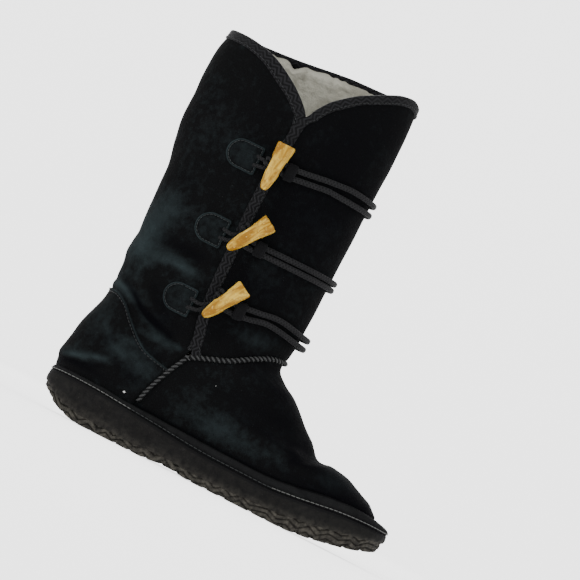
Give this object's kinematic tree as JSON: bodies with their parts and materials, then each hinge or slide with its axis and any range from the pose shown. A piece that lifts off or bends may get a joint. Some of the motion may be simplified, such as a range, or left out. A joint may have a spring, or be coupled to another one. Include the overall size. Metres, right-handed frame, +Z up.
{
  "type": "shearling boot",
  "caption": "Mid-calf shearling boot for the right foot with a notched side slit, toggle and cord closures, a rolled welt strip and a lugged foam sole",
  "frame": {"origin": "on the floor, in the middle of the flat pad under the heel", "axes": "+X towards the toe, +Y towards the inner side of the foot, +Z up along the shaft"},
  "size_m": [0.2713, 0.1103, 0.3177],
  "materials": {
    "sole_foam": "matte foam sole, dusty tread",
    "fleece": "cream wool",
    "suede": "black suede with faded nap",
    "tape": "woven black tape",
    "cord": "dark braided cord",
    "toggle": "polished, tan and yellow"
  },
  "bodies": {
    "root": {"outsole": "sole_foam", "insole": "fleece", "upper": "suede", "welt": "suede", "heel_counter": "suede", "binding": "tape", "vamp_seam": "suede", "side_seam": "suede", "inner_seam": "suede", "patch_1": "suede", "patch_2": "suede", "patch_3": "suede", "inner_patch_1": "suede", "inner_patch_2": "suede", "inner_patch_3": "suede", "short_cord_1": "cord", "short_cord_2": "cord", "short_cord_3": "cord", "long_cord_1": "cord", "long_cord_2": "cord", "long_cord_3": "cord", "keeper_1": "cord", "keeper_2": "cord", "keeper_3": "cord", "toggle_1": "toggle", "toggle_2": "toggle", "toggle_3": "toggle"}
  },
  "joints": []
}
